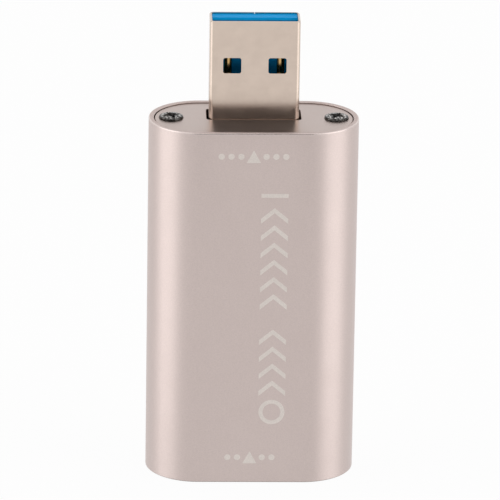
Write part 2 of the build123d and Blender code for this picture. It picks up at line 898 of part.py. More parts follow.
def capacitor_places():
    """Where the small capacitors lie: a row beside the filters, two at the chip, one at the plug."""
    rows = (
        (capacitor_row_x_shares, socket_back_z, filter_bay, filter_row_share),
        (chip_row_x_shares, filter_bay_end, chip_bay, chip_row_low_share),
        (chip_row_x_shares, filter_bay_end, chip_bay, chip_row_high_share),
        (capacitor_row_x_shares, chip_bay_end, power_bay, power_row_share),
    )
    return [place(share, start, length, row) for shares, start, length, row in rows for share in shares]


def resistor_places():
    """Where the small resistors lie: a row beyond the inductor."""
    row = (chip_bay_end, power_bay, inductor_row_share)
    return [place(share, *row) for share in resistor_row_x_shares]


def small_bodies(places, height):
    """The bodies of small capacitors or resistors."""
    return group([on_board(x, z, small_body_length, small_width, height) for x, z in places])


def small_ends(places, height):
    """The metal ends of small capacitors or resistors."""
    out = (small_body_length + small_end_length) / 2
    ends = []
    for x, z in places:
        ends += [on_board(x + side * out, z, small_end_length, small_width, height) for side in (-1, 1)]
    return group(ends)


sub_parts = {
    "case_tube": case_tube(),
    "output_end_plate": output_end_plate(),
    "input_end_plate": input_end_plate(),
    "output_plate_screws": output_plate_screws(),
    "input_plate_screws": input_plate_screws(),
    "plug_shell": plug_shell(),
    "plug_tongue": plug_tongue(),
    "plug_long_contacts": plug_long_contacts(),
    "plug_short_contacts": plug_short_contacts(),
    "socket_shell": socket_shell(),
    "socket_tongue": socket_tongue(),
    "socket_front_contacts": socket_contacts(-1),
    "socket_back_contacts": socket_contacts(1),
    "circuit_board": circuit_board(),
    "solder_joints": solder_joints(),
    "insulating_sheet": insulating_sheet(),
    "capture_chip": capture_chip(),
    "capture_chip_pads": capture_chip_pads(),
    "memory_chip": memory_chip(),
    "memory_chip_leads": memory_chip_leads(),
    "crystal": crystal(),
    "regulators": regulators(),
    "regulator_leads": regulator_leads(),
    "power_inductor": power_inductor(),
    "power_inductor_terminals": power_inductor_terminals(),
    "bulk_capacitors": bulk_capacitors(),
    "bulk_capacitor_terminals": bulk_capacitor_terminals(),
    "line_filters": line_filters(),
    "surge_arrays": surge_arrays(),
    "small_capacitors": small_bodies(capacitor_places(), capacitor_height),
    "small_capacitor_ends": small_ends(capacitor_places(), capacitor_height),
    "small_resistors": small_bodies(resistor_places(), resistor_height),
    "small_resistor_ends": small_ends(resistor_places(), resistor_height),
}

os.makedirs("parts", exist_ok=True)
for name, shape in sub_parts.items():
    export_step(shape, f"parts/{name}.step")
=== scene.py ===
"""Looks of a video capture box: an oval metal case with a data plug and a video socket.

Every length is in metres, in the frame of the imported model. +Z runs along the case towards the plug,
+X across its width, and -Y is its marked front. The case stands on its input end.
"""

import logging
import math
from collections.abc import Callable, Mapping, Sequence
from dataclasses import dataclass, field
from enum import Enum

import bmesh
import bpy
from mathutils import Matrix, Vector
from mathutils.geometry import delaunay_2d_cdt


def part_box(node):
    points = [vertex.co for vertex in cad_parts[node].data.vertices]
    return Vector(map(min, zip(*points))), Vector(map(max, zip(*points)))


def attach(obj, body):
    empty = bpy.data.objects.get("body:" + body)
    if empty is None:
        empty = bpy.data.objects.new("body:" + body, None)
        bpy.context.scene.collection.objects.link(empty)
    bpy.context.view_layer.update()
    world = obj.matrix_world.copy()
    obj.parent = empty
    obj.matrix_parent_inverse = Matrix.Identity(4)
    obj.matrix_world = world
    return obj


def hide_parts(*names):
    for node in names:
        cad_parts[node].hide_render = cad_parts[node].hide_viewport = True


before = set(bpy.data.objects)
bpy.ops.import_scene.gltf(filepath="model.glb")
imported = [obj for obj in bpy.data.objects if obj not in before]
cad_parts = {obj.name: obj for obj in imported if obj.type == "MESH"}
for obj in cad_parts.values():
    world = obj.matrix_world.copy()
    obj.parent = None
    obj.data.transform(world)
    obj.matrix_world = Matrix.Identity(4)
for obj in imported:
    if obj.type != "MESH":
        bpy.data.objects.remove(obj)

MM = 0.001
BODY = "root"
MERGE_DISTANCE = 1e-4 * MM
NOISE_LOW = 0.3
NOISE_HIGH = 0.7
Point = tuple[float, float]
Colour = tuple[float, float, float]
log = logging.getLogger("capture_box")


class RayKind(Enum):
    """The kinds of ray that a studio surface can be hidden from."""

    CAMERA = "visible_camera"
    GLOSSY = "visible_glossy"
    TRANSMISSION = "visible_transmission"
    SHADOW = "visible_shadow"


class Side(Enum):
    """The two halves of a symmetrical sub-assembly, as signs of X."""

    LEFT = -1
    RIGHT = 1


class NodeWork:
    """A node tree in the making, of a material or of the surroundings."""

    def __init__(self, owner: bpy.types.Material | bpy.types.World) -> None:
        """Start an empty tree.

        Args:
            owner: What the tree belongs to.
        """
        owner.use_nodes = True
        self.tree = owner.node_tree
        self.tree.nodes.clear()

    def fill(self, socket: bpy.types.NodeSocket, value: object) -> None:
        """Give a socket its value.

        Args:
            socket: The socket to fill.
            value: A constant, or a socket to link from.
        """
        if isinstance(value, bpy.types.NodeSocket):
            self.tree.links.new(value, socket)
        else:
            socket.default_value = value

    def node(
        self, kind: str, feeds: Mapping[str | int, object] | None = None, **settings: object
    ) -> bpy.types.Node:
        """Add a node.

        Args:
            kind: Blender's name of the node type.
            feeds: Constants, or sockets to link from, by the names or numbers of the node's inputs.
            **settings: Properties of the node to set.

        Returns:
            The new node.
        """
        made = self.tree.nodes.new(kind)
        for name, value in settings.items():
            setattr(made, name, value)
        for key, value in (feeds or {}).items():
            self.fill(made.inputs[key], value)
        return made

    def spread(
        self, value: object, low: object, high: object, start: float = NOISE_LOW, end: float = NOISE_HIGH
    ) -> bpy.types.NodeSocket:
        """Map a value's range to another one.

        Args:
            value: The value to map.
            low: Result at the start of the range.
            high: Result at the end of the range.
            start: Where the range starts.
            end: Where the range ends.

        Returns:
            The mapped value, held between low and high.
        """
        feeds = {"Value": value, "From Min": start, "From Max": end, "To Min": low, "To Max": high}
        return self.node("ShaderNodeMapRange", feeds).outputs["Result"]

    def sum_up(self, operation: str, first: object, second: object) -> bpy.types.NodeSocket:
        """Combine two numbers.

        Args:
            operation: Blender's name of the arithmetic.
            first: A number, or a socket that gives one.
            second: A number, or a socket that gives one.

        Returns:
            The result.
        """
        return self.node("ShaderNodeMath", {0: first, 1: second}, operation=operation).outputs[0]


class Shading(NodeWork):
    """The node tree of one material, with the few node patterns that the finishes share."""

    mix_share: int = 0
    mix_colours: tuple[int, int] = (6, 7)
    mix_result: int = 2

    def __init__(self, name: str, roughness: float, metallic: float = 0.0) -> None:
        """Start a material that has one main shader.

        Args:
            name: Name of the material.
            roughness: Roughness that the shader starts with.
            metallic: One for bare metal and zero for anything else.
        """
        self.material = bpy.data.materials.new(name)
        super().__init__(self.material)
        self.surface = self.node("ShaderNodeBsdfPrincipled", {"Roughness": roughness, "Metallic": metallic})
        self.node("ShaderNodeOutputMaterial", {"Surface": self.surface.outputs["BSDF"]})
        self.place = self.node("ShaderNodeTexCoord").outputs["Object"]

    def feed(self, socket: str, value: bpy.types.NodeSocket) -> None:
        """Link a value into a named socket of the main shader."""
        self.fill(self.surface.inputs[socket], value)

    def noise(self, size: float, detail: float = 2.0, stretch: Colour = (1, 1, 1)) -> bpy.types.NodeSocket:
        """Add a noise in the material's own space.

        Args:
            size: Length of one blotch.
            detail: Number of finer layers.
            stretch: How many times longer a blotch is along each axis.

        Returns:
            The noise's value, from 0 to 1.
        """
        scales = [1 / (size * times) for times in stretch]
        mapping = self.node("ShaderNodeMapping", {"Vector": self.place, "Scale": scales})
        feeds = {"Vector": mapping.outputs["Vector"], "Scale": 1.0, "Detail": detail}
        return self.node("ShaderNodeTexNoise", feeds).outputs["Fac"]

    def tint(self, share: bpy.types.NodeSocket, first: object, second: object) -> bpy.types.NodeSocket:
        """Blend two colours.

        Args:
            share: How much of the second colour shows.
            first: A colour, or a socket that gives one.
            second: A colour, or a socket that gives one.

        Returns:
            The blended colour.
        """
        feeds = {self.mix_share: share}
        for index, colour in zip(self.mix_colours, (first, second)):
            feeds[index] = colour if isinstance(colour, bpy.types.NodeSocket) else (*colour, 1.0)
        return self.node("ShaderNodeMix", feeds, data_type="RGBA").outputs[self.mix_result]

    def reach(self, x: float) -> bpy.types.NodeSocket:
        """Measure how far a place is from the nearer of two upright axes.

        Args:
            x: Distance of each axis from the object's middle.

        Returns:
            The distance, level with X and Y.
        """
        split = self.node("ShaderNodeSeparateXYZ", {0: self.place})
        across = self.sum_up("SUBTRACT", self.sum_up("ABSOLUTE", split.outputs["X"], 0.0), x)
        flat = self.node("ShaderNodeCombineXYZ", {"X": across, "Y": split.outputs["Y"]})
        return self.node("ShaderNodeVectorMath", {0: flat.outputs[0]}, operation="LENGTH").outputs["Value"]

    def bump(self, layers: Sequence[tuple[bpy.types.NodeSocket, float]]) -> None:
        """Raise the surface by several heights, one on top of the other.

        Args:
            layers: Each height's value from 0 to 1, and its depth.
        """
        normal = None
        for height, depth in layers:
            feeds = {"Strength": 1.0, "Distance": depth, "Height": height}
            if normal is not None:
                feeds["Normal"] = normal
            normal = self.node("ShaderNodeBump", feeds).outputs["Normal"]
        self.feed("Normal", normal)


def scaled(colour: Colour, times: float) -> Colour:
    """A colour made darker or lighter by one factor."""
    return tuple(min(1.0, part * times) for part in colour)


@dataclass(frozen=True)
class BlastedMetal:
    """Bead-blasted and anodised aluminium: a soft sheen over a fine, even grain."""

    name: str
    colour: Colour
    roughness: float = 0.4
    smooth_times: float = 0.94
    rough_times: float = 1.06
    grain: float = 0.16 * MM
    grain_detail: float = 3.0
    grain_depth: float = 0.0012 * MM
    grain_contrast: float = 0.05
    patch: float = 2.6 * MM
    patch_detail: float = 2.0
    patch_share: float = 0.15
    worn_times: float = 1.1

    def make(self) -> bpy.types.Material:
        """Make the material.

        Returns:
            The new material.
        """
        shading = Shading(self.name, self.roughness, 1.0)
        grain = shading.noise(self.grain, self.grain_detail)
        patch = shading.noise(self.patch, self.patch_detail)
        fine = shading.tint(
            shading.spread(grain, 0, 1),
            scaled(self.colour, 1 - self.grain_contrast),
            scaled(self.colour, 1 + self.grain_contrast),
        )
        worn = scaled(self.colour, self.worn_times)
        shading.feed("Base Color", shading.tint(shading.spread(patch, 0, self.patch_share), fine, worn))
        smooth, rough = self.roughness * self.smooth_times, self.roughness * self.rough_times
        shading.feed("Roughness", shading.spread(patch, smooth, rough))
        shading.bump([(grain, self.grain_depth)])
        return shading.material


@dataclass(frozen=True)
class PlatedSheet:
    """Rolled and plated sheet metal: smooth, with faint rolling lines and a few soft stains."""

    name: str
    colour: Colour
    roughness: float = 0.16
    dull_times: float = 1.2
    bright_times: float = 0.85
    line: float = 0.05 * MM
    line_detail: float = 3.0
    line_stretch: Colour = (1, 1, 60)
    line_depth: float = 0.00025 * MM
    stain: float = 1.4 * MM
    stain_detail: float = 4.0
    stain_depth: float = 0.001 * MM
    stain_contrast: float = 0.025

    def make(self) -> bpy.types.Material:
        """Make the material.

        Returns:
            The new material.
        """
        shading = Shading(self.name, self.roughness, 1.0)
        lines = shading.noise(self.line, self.line_detail, self.line_stretch)
        stain = shading.noise(self.stain, self.stain_detail)
        dull = scaled(self.colour, 1 - self.stain_contrast)
        bright = scaled(self.colour, 1 + self.stain_contrast)
        shading.feed("Base Color", shading.tint(shading.spread(stain, 0, 1), dull, bright))
        rough, smooth = self.roughness * self.dull_times, self.roughness * self.bright_times
        shading.feed("Roughness", shading.spread(stain, rough, smooth))
        shading.bump([(lines, self.line_depth), (stain, self.stain_depth)])
        return shading.material


@dataclass(frozen=True)
class DarkSteel:
    """Blackened steel of the screws: satin black, with a ring of speckled silver on each head, part wear and
    part painted glints.
    """

    name: str
    colour: Colour
    # Silver of worn steel, which the ring also uses for painted glints.
    bare: Colour
    roughness: float = 0.3
    smooth_times: float = 0.75
    rough_times: float = 1.3
    speck: float = 0.25 * MM
    speck_detail: float = 4.0
    speck_depth: float = 0.0075 * MM
    speck_start: float = 0.48
    speck_end: float = 0.58
    cloud: float = 1.0 * MM
    cloud_detail: float = 2.0
    cloud_share: float = 0.35
    screw_x: float = 11.0 * MM
    ring_inner: float = 0.72 * MM
    ring_outer: float = 1.5 * MM
    ring_fade: float = 0.18 * MM
    least_wear_and_glint_share: float = 0.12

    def make(self) -> bpy.types.Material:
        """Make the material.

        Returns:
            The new material.
        """
        shading = Shading(self.name, self.roughness, 1.0)
        speck = shading.noise(self.speck, self.speck_detail)
        cloud = shading.noise(self.cloud, self.cloud_detail)
        # The ring of silver specks on each head's top is part wear and part painted glints.
        reach = shading.reach(self.screw_x)
        begun = shading.spread(reach, 0, 1, self.ring_inner, self.ring_inner + self.ring_fade)
        left = shading.spread(reach, 1, 0, self.ring_outer - self.ring_fade, self.ring_outer)
        ring = shading.sum_up("MULTIPLY", begun, left)
        worn = shading.sum_up("MULTIPLY", ring, shading.spread(cloud, self.cloud_share, 1))
        share = shading.sum_up("MAXIMUM", worn, self.least_wear_and_glint_share)
        specks = shading.spread(speck, 0, 1, self.speck_start, self.speck_end)
        wear_and_glint_specks = shading.sum_up("MULTIPLY", share, specks)
        shading.feed("Base Color", shading.tint(wear_and_glint_specks, self.colour, self.bare))
        smooth, rough = self.roughness * self.smooth_times, self.roughness * self.rough_times
        shading.feed("Roughness", shading.spread(cloud, smooth, rough))
        shading.bump([(speck, self.speck_depth)])
        return shading.material


@dataclass(frozen=True)
class Moulding:
    """Moulded plastic, coated board or fired ceramic: one colour with a fine skin and soft mottling."""

    name: str
    colour: Colour
    roughness: float = 0.4
    smooth_times: float = 0.9
    rough_times: float = 1.1
    skin: float = 0.12 * MM
    skin_detail: float = 2.0
    skin_depth: float = 0.001 * MM
    mottle: float = 1.1 * MM
    mottle_detail: float = 3.0
    mottle_contrast: float = 0.06
    gloss: float = 0.5

    def make(self) -> bpy.types.Material:
        """Make the material.

        Returns:
            The new material.
        """
        shading = Shading(self.name, self.roughness)
        shading.surface.inputs["Specular IOR Level"].default_value = self.gloss
        skin = shading.noise(self.skin, self.skin_detail)
        mottle = shading.noise(self.mottle, self.mottle_detail)
        dark = scaled(self.colour, 1 - self.mottle_contrast)
        light = scaled(self.colour, 1 + self.mottle_contrast)
        shading.feed("Base Color", shading.tint(shading.spread(mottle, 0, 1), dark, light))
        smooth, rough = self.roughness * self.smooth_times, self.roughness * self.rough_times
        shading.feed("Roughness", shading.spread(mottle, smooth, rough))
        shading.bump([(skin, self.skin_depth)])
        return shading.material


class Finishes(Enum):
    """Every finish of the object."""

    CASE = BlastedMetal("case_metal_finish", (0.578, 0.489, 0.463))
    PLATE = BlastedMetal("plate_metal_finish", (0.496, 0.412, 0.381), roughness=0.33, grain_contrast=0.035)
    ETCHED = BlastedMetal("etched_mark_finish", (0.700, 0.640, 0.600), roughness=0.5, grain_contrast=0.07)
    # The rounded upper edge is smoother than the case, and its lighter tone paints a highlight along it.
    EDGE = BlastedMetal("case_edge_finish_and_highlight", (0.680, 0.590, 0.560), roughness=0.22, grain_contrast=0.03)
    RIM = BlastedMetal("case_rim_finish", (0.578, 0.489, 0.463), roughness=0.62)
    # Its silver is worn steel and also paints glints on the heads.
    SCREW = DarkSteel("screw_metal_finish", (0.035, 0.032, 0.030), (0.80, 0.77, 0.74))
    # A slightly darker copy of the screw steel, without its silver, that paints shade into the cross recess.
    RECESS = BlastedMetal("screw_recess_painted_shade", (0.030, 0.028, 0.027), roughness=0.35, grain_contrast=0.2)
    PLUG = PlatedSheet("plug_metal_finish", (0.604, 0.501, 0.427), roughness=0.2)
    SOCKET = PlatedSheet("socket_metal_finish", (0.62, 0.58, 0.54), roughness=0.22)
    BLUE = Moulding("blue_plastic_finish", (0.0, 0.34, 0.76), roughness=0.42, gloss=0.05)
    BLACK = Moulding("black_plastic_finish", (0.018, 0.018, 0.019), roughness=0.45)
    CONTACT = PlatedSheet("contact_metal_finish", (0.55, 0.36, 0.155), roughness=0.18, stain=0.6 * MM)
    BOARD = Moulding("board_finish", (0.015, 0.13, 0.055), roughness=0.3, mottle=0.7 * MM)
    SOLDER = PlatedSheet("solder_finish", (0.62, 0.62, 0.63), roughness=0.24, stain=0.3 * MM)
    FILM = Moulding("sheet_plastic_finish", (0.62, 0.40, 0.10), roughness=0.25, mottle=3.0 * MM)
    CHIP = Moulding("chip_plastic_finish", (0.028, 0.028, 0.030), roughness=0.55, skin_depth=0.003 * MM)
    LEAD = PlatedSheet("lead_metal_finish", (0.64, 0.64, 0.65), roughness=0.28, stain=0.4 * MM)
    CAN = PlatedSheet("crystal_metal_finish", (0.66, 0.64, 0.58), roughness=0.2)
    CORE = Moulding("core_grey_finish", (0.095, 0.095, 0.100), roughness=0.75, skin_depth=0.006 * MM)
    TANTALUM = Moulding("capacitor_yellow_finish", (0.72, 0.40, 0.04), roughness=0.5)
    FILTER = Moulding("filter_grey_finish", (0.15, 0.14, 0.13), roughness=0.5)
    CERAMIC = Moulding("capacitor_tan_finish", (0.42, 0.27, 0.15), roughness=0.45)

    def material(self) -> bpy.types.Material:
        """The finish's material, made once."""
        return bpy.data.materials.get(self.value.name) or self.value.make()


def circle(x: float, y: float, radius: float, steps: int) -> list[Point]:
    """A round outline about a place, anticlockwise."""
    turns = [math.tau * step / steps for step in range(steps)]
    return [(x + radius * math.cos(turn), y + radius * math.sin(turn)) for turn in turns]


def oval(half_width: float, half_thickness: float, steps: int) -> list[Point]:
    """The case's outline, straight front and back with fully round sides.

    Args:
        half_width: Half of the outline's width.
        half_thickness: Half of its thickness, which is the radius of its sides.
        steps: Number of steps in each round side.

    Returns:
        The points, anticlockwise from the right end of the front.
    """
    centre = half_width - half_thickness
    points = []
    for side in (Side.RIGHT, Side.LEFT):
        for step in range(steps + 1):
            angle = math.pi * step / steps - math.pi / 2
            x = centre + half_thickness * math.cos(angle)
            points.append((side.value * x, side.value * half_thickness * math.sin(angle)))
    return points


def rounded(corners: Sequence[Point], radius: float, growth: float = 0.0, steps: int = 8) -> list[Point]:
    """A convex outline, grown outwards, with every corner rounded.

    Args:
        corners: The sharp corners, anticlockwise.
        radius: Radius of the corners before the growth.
        growth: How far the outline is moved outwards.
        steps: Number of steps in each corner.

    Returns:
        The points, anticlockwise.
    """
    count = len(corners)
    points = []
    for index, corner in enumerate(corners):
        spot = Vector(corner)
        before = (Vector(corners[index - 1]) - spot).normalized()
        after = (Vector(corners[(index + 1) % count]) - spot).normalized()
        half = before.angle(after) / 2
        centre = spot + (before + after).normalized() * (radius / math.sin(half))
        foot = spot + before * (radius / math.tan(half)) - centre
        start = math.atan2(foot.y, foot.x)
        for step in range(steps + 1):
            angle = start + (math.pi - 2 * half) * step / steps
            reach = radius + growth
            points.append((centre.x + reach * math.cos(angle), centre.y + reach * math.sin(angle)))
    return points


class Pattern:
    """A flat drawing, split into triangles along its outlines."""

    output_kind: int = 1
    tolerance: float = 1e-6

    def __init__(self, outlines: Sequence[Sequence[Point]]) -> None:
        """Split the drawing.

        Args:
            outlines: Closed outlines, which may lie in each other or cross.
        """
        spots, loops, owners = [], [], []
        for number, outline in enumerate(outlines):
            loops.append(list(range(len(spots), len(spots) + len(outline))))
            spots += [Vector(point) / MM for point in outline]
            owners += [number] * len(outline)
        split = delaunay_2d_cdt(spots, [], loops, self.output_kind, self.tolerance)
        made, _, triangles, sources, _, parents = split
        self.points = [(point.x * MM, point.y * MM) for point in made]
        self.owners = [owners[source[0]] if source else -1 for source in sources]
        self.triangles = list(zip(triangles, parents))


class Shape:
    """A mesh in the making, built from rings of points and split drawings."""

    seat_slack_share: float = 0.02

    def __init__(self) -> None:
        """Start an empty mesh."""
        self.mesh = bmesh.new()

    def ring(self, points: Sequence[Vector]) -> list[bmesh.types.BMVert]:
        """Add one ring of points, not yet joined by faces."""
        return [self.mesh.verts.new(point) for point in points]

    def face(self, corners: Sequence[bmesh.types.BMVert], finish: int = 0) -> None:
        """Add a face, with the number of the finish that it takes."""
        self.mesh.faces.new(corners).material_index = finish

    def bridge(
        self,
        first: Sequence[bmesh.types.BMVert],
        second: Sequence[bmesh.types.BMVert],
        skip: Callable[[int], bool] = lambda index: False,
        finish: int = 0,
    ) -> None:
        """Join two closed rings of as many points by a band of faces.

        Args:
            first: One ring.
            second: The other ring.
            skip: Says which faces of the band are left open.
            finish: Number of the finish that the band takes.
        """
        count = len(first)
        for index in range(count):
            after = (index + 1) % count
            if not skip(index):
                self.face((first[index], first[after], second[after], second[index]), finish)

    def level(self, outline: Sequence[Point], height: float) -> list[bmesh.types.BMVert]:
        """Add one ring in X and Y at a height."""
        return self.ring([Vector((x, y, height)) for x, y in outline])

    def prism(self, outline: Sequence[Point], low: float, high: float) -> None:
        """Add a closed bar with an outline in X and Y.

        Args:
            outline: The bar's outline.
            low: Height of its lower end.
            high: Height of its upper end.
        """
        bottom = self.level(outline, low)
        top = self.level(outline, high)
        self.bridge(bottom, top)
        self.face(bottom[::-1])
        self.face(top)

    def fan(self, ring: Sequence[bmesh.types.BMVert], tip: Vector) -> None:
        """Close a ring with triangles that meet in one point.

        Args:
            ring: The ring.
            tip: Where the triangles meet.
        """
        point = self.mesh.verts.new(tip)
        for index, corner in enumerate(ring):
            self.face((corner, ring[(index + 1) % len(ring)], point))

    def lay(
        self,
        pattern: Pattern,
        place: Callable[[float, float, int], Vector],
        finish_of: Callable[[set[int]], int | None],
    ) -> None:
        """Add a split drawing.

        Args:
            pattern: The drawing.
            place: Gives a point's place in space, from where it is drawn and its outline's number.
            finish_of: Gives a triangle's finish, or None to leave it open, from the outlines round it.
        """
        corners = {}
        for triangle, around in pattern.triangles:
            finish = finish_of(set(around))
            if finish is None:
                continue
            for index in triangle:
                if index not in corners:
                    spot = place(*pattern.points[index], pattern.owners[index])
                    corners[index] = self.mesh.verts.new(spot)
            self.face([corners[index] for index in triangle], finish)

    def seat(
        self, x: float, y: float, radius: float, floor: float, hole: Sequence[bmesh.types.BMVert]
    ) -> None:
        """Add the wall and the floor of a round seat, round a hole.

        Args:
            x: Place of the seat's middle.
            y: Place of the seat's middle.
            radius: The seat's radius, at which the face round it is left open.
            floor: Height of its floor.
            hole: The ring of the hole in its floor.
        """
        slack = self.seat_slack_share * radius
        rim = [
            edge
            for edge in self.mesh.edges
            if edge.is_boundary
            and all(abs(math.hypot(v.co.x - x, v.co.y - y) - radius) < slack for v in edge.verts)
        ]
        made = bmesh.ops.extrude_edge_only(self.mesh, edges=rim)["geom"]
        for item in made:
            if isinstance(item, bmesh.types.BMVert):
                item.co.z = floor
        lowered = [item for item in made if isinstance(item, bmesh.types.BMEdge) and item.is_boundary]
        members = set(hole)
        inner = [edge for edge in self.mesh.edges if edge.is_boundary and members.issuperset(edge.verts)]
        bmesh.ops.bridge_loops(self.mesh, edges=lowered + inner)

    def sweep(self, path: Sequence[Vector], sections: Sequence[Sequence[Point]]) -> None:
        """Add a closed strip that follows a path in Y and Z, mitred at its bends.

        Args:
            path: The path's points.
            sections: One section for each point, as places across X and out to the path's right.
        """
        runs = [(after - before).normalized() for before, after in zip(path, path[1:])]
        rings = []
        for spot, back, on, section in zip(path, [runs[0], *runs], [*runs, runs[-1]], sections):
            right = Vector((0, back.z + on.z, -back.y - on.y)) / (1 + back.dot(on))
            rings.append(self.ring([spot + Vector((x, 0, 0)) + right * out for x, out in section]))
        for first, second in zip(rings, rings[1:]):
            self.bridge(first, second)
        self.face(rings[0][::-1])
        self.face(rings[-1])

    def take(self, other: "Shape") -> None:
        """Add all that another mesh in the making holds, and free that one.

        Args:
            other: The other mesh.
        """
        data = bpy.data.meshes.new("taken")
        other.mesh.to_mesh(data)
        other.mesh.free()
        self.mesh.from_mesh(data)
        bpy.data.meshes.remove(data)

    def finish(self, name: str, finishes: Sequence[Finishes], sharp: float = 32.0) -> bpy.types.Object:
        """Turn the mesh into an object.

        Args:
            name: Name of the piece.
            finishes: The finishes that the faces' numbers stand for.
            sharp: Angle in degrees from which an edge stays sharp.

        Returns:
            The new object.
        """
        bmesh.ops.remove_doubles(self.mesh, verts=self.mesh.verts, dist=MERGE_DISTANCE)
        bmesh.ops.recalc_face_normals(self.mesh, faces=self.mesh.faces)
        data = bpy.data.meshes.new(name)
        self.mesh.to_mesh(data)
        self.mesh.free()
        data.shade_smooth()
        data.set_sharp_from_angle(angle=math.radians(sharp))
        for finish in finishes:
            data.materials.append(finish.material())
        made = bpy.data.objects.new(name, data)
        bpy.context.scene.collection.objects.link(made)
        return made


class SubAssembly:
    """A group of pieces that are built and dressed together."""

    def dress(self, node: str, finish: Finishes) -> None:
        """Give a carried-over CAD node its finish.

        Args:
            node: Name of the node.
            finish: The finish.
        """
        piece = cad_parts[node]
        for index in range(len(piece.data.materials)):
            piece.data.materials[index] = finish.material()
        log.info("%s keeps its CAD shape, with finish %s", node, finish.name.lower())

    def mount(self, piece: bpy.types.Object, slot: str, *nodes: str) -> None:
        """Fix a new piece to the object.

        Args:
            piece: The new piece.
            slot: A material slot's name; not used.
            *nodes: The CAD nodes that it stands for.
        """
        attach(piece, BODY)
        if nodes:
            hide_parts(*nodes)
        log.info("%s has %d faces", piece.name, len(piece.data.polygons))

    def build(self) -> None:
        """Build and dress every piece."""
        raise NotImplementedError


@dataclass
class FrontMarks:
    """The etched marks on the case's front: a column of flow signs and a small sign at each end.

    Places are in X and Z.
    """

    stroke: float = 0.55 * MM
    column_x: float = 2.72 * MM
    column_low: float = 8.4 * MM
    column_high: float = 41.1 * MM
    ring_radius: float = 1.75 * MM
    chevron_half_width: float = 1.8 * MM
    chevron_rise: float = 1.5 * MM
    lower_chevrons: int = 4
    upper_chevrons: int = 6
    group_gap: float = 2.6 * MM
    sign_x: float = -0.15 * MM
    sign_height: float = 1.75 * MM
    sign_half_width: float = 0.95 * MM
    dot_radius: float = 0.42 * MM
    dot_pitch: float = 1.3 * MM
    dot_offset_share: float = 0.45
    input_sign_z: float = 2.75 * MM
    input_dots: int = 2
    output_sign_z: float = 45.4 * MM
    output_dots: int = 3
    round_steps: int = 28

    def disc(self, x: float, z: float, radius: float) -> list[Point]:
        """A round outline about a place."""
        return circle(x, z, radius, self.round_steps)

    def chevron(self, z: float) -> list[Point]:
        """Draw a chevron that points towards the plug.

        Args:
            z: Height of its lowest points.

        Returns:
            The points, anticlockwise.
        """
        thick = self.stroke * math.hypot(self.chevron_half_width, self.chevron_rise) / self.chevron_half_width
        wing, top = self.chevron_half_width, z + self.chevron_rise
        steps = ((-wing, z), (0, top), (wing, z), (wing, z + thick), (0, top + thick), (-wing, z + thick))
        return [(self.column_x + x, height) for x, height in steps]

    def bar(self, z: float) -> list[Point]:
        """Draw a straight bar across the column.

        Args:
            z: Height of its lower side.

        Returns:
            The corners, anticlockwise.
        """
        wing = self.chevron_half_width
        left, right = self.column_x - wing, self.column_x + wing
        return [(left, z), (right, z), (right, z + self.stroke), (left, z + self.stroke)]

    def column(self) -> list[list[Point]]:
        """Draw the column: a ring, two groups of chevrons and a bar, evenly spaced in its length.

        Returns:
            The outlines, from the lowest mark up.
        """
        ring_z = self.column_low + self.ring_radius
        outlines = [
            self.disc(self.column_x, ring_z, self.ring_radius),
            self.disc(self.column_x, ring_z, self.ring_radius - self.stroke),
        ]
        start = self.column_low + 2 * self.ring_radius
        end = self.column_high - self.stroke
        count = self.lower_chevrons + self.upper_chevrons
        last = self.chevron_rise / (self.chevron_rise + self.stroke)
        pitch = (end - start - self.group_gap) / (count + last)
        for number in range(count):
            beyond_gap = self.group_gap if number >= self.lower_chevrons else 0
            outlines.append(self.chevron(start + self.stroke + number * pitch + beyond_gap))
        outlines.append(self.bar(end))
        return outlines

    def sign(self, z: float, dots: int) -> list[list[Point]]:
        """A small arrowhead between rows of dots.

        Args:
            z: Height of the sign's base.
            dots: Number of dots on each side.

        Returns:
            The outlines.
        """
        x, half = self.sign_x, self.sign_half_width
        outlines = [[(x - half, z), (x + half, z), (x, z + self.sign_height)]]
        for number in range(1, dots + 1):
            for side in Side:
                centre = x + side.value * (half + (number - self.dot_offset_share) * self.dot_pitch)
                outlines.append(self.disc(centre, z + self.sign_height / 2, self.dot_radius))
        return outlines

    def outlines(self) -> list[list[Point]]:
        """Draw every mark.

        Returns:
            The outlines.
        """
        input_sign = self.sign(self.input_sign_z, self.input_dots)
        output_sign = self.sign(self.output_sign_z, self.output_dots)
        return [*self.column(), *input_sign, *output_sign]


